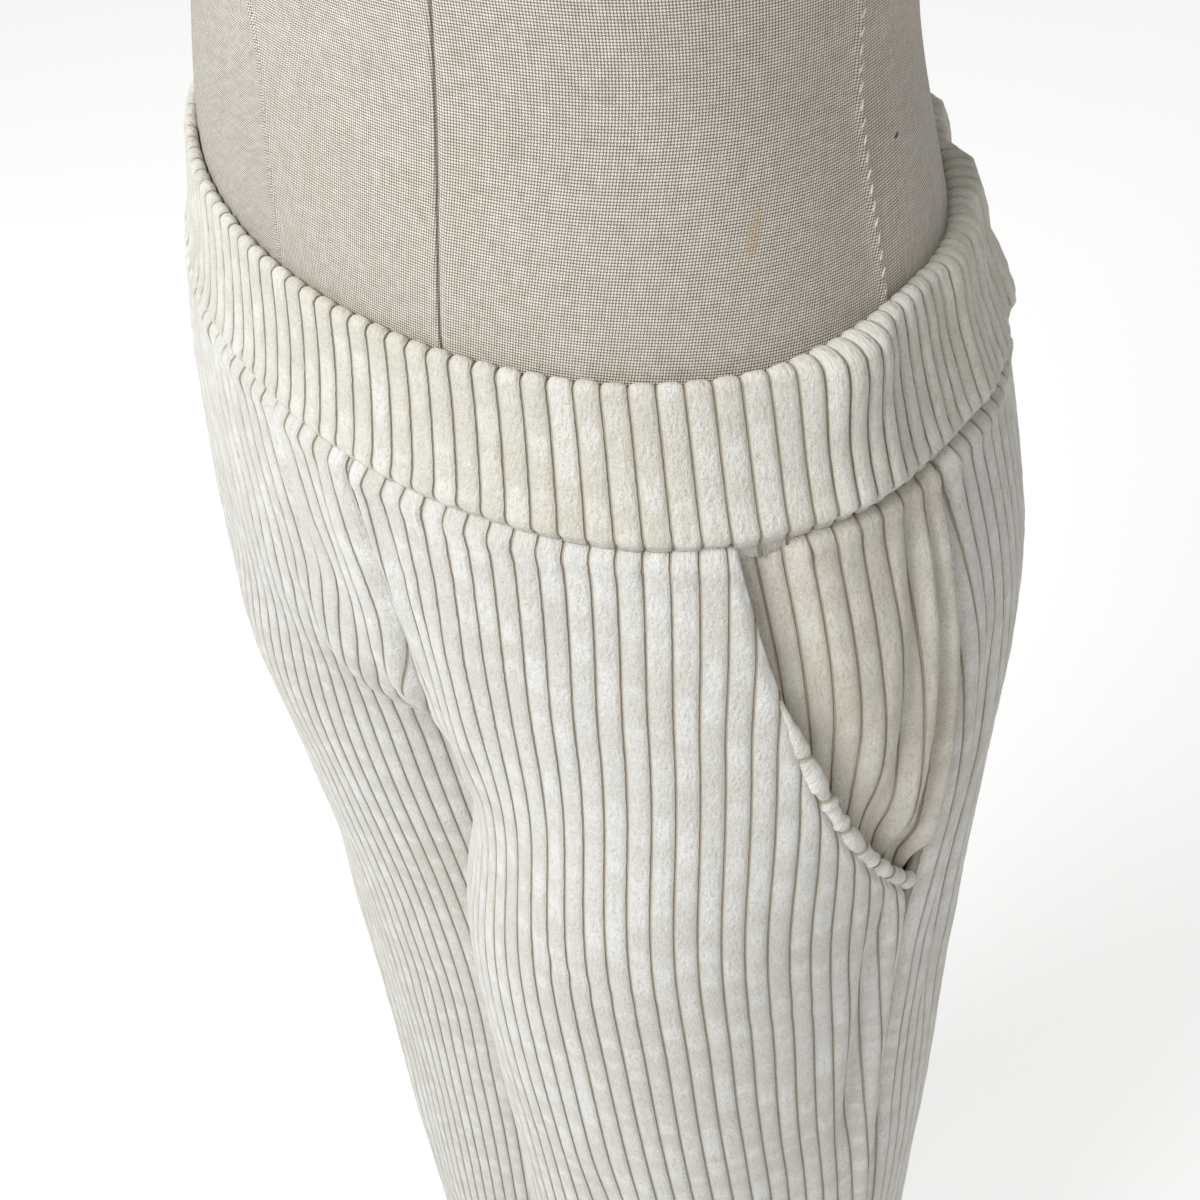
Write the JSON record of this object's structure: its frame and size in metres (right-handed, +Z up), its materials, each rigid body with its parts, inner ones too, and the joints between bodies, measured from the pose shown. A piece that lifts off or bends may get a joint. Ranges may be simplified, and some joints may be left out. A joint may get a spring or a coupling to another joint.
{
  "type": "corduroy trousers on a dress form",
  "caption": "Pull-on wide-leg corduroy trousers with an elasticated waistband and scooped front pockets, worn by a limbless linen dress form on a pole and round base.",
  "frame": {"origin": "centre of the round base's underside, on the floor", "axes": "+Z up along the pole, the form faces -Y, the wearer's left is +X"},
  "size_m": [0.39, 0.39, 1.6413],
  "materials": {
    "corduroy": "cream jumbo-wale cotton corduroy, 7.5 mm wales with a velvety cut pile and tan grooves",
    "linen": "natural greige plain-weave linen, matt, about 0.8 mm thread pitch",
    "cap_wood": "satin turned hardwood",
    "stand_metal": "semi-matt black powder coat"
  },
  "bodies": {
    "root": {"waistband": "corduroy", "front_left": "corduroy", "front_right": "corduroy", "back_left": "corduroy", "back_right": "corduroy", "pocket_left": "corduroy", "pocket_right": "corduroy", "form_torso": "linen", "form_neck_cap": "cap_wood", "form_flange": "stand_metal", "form_pole": "stand_metal", "form_base": "stand_metal"}
  },
  "joints": []
}
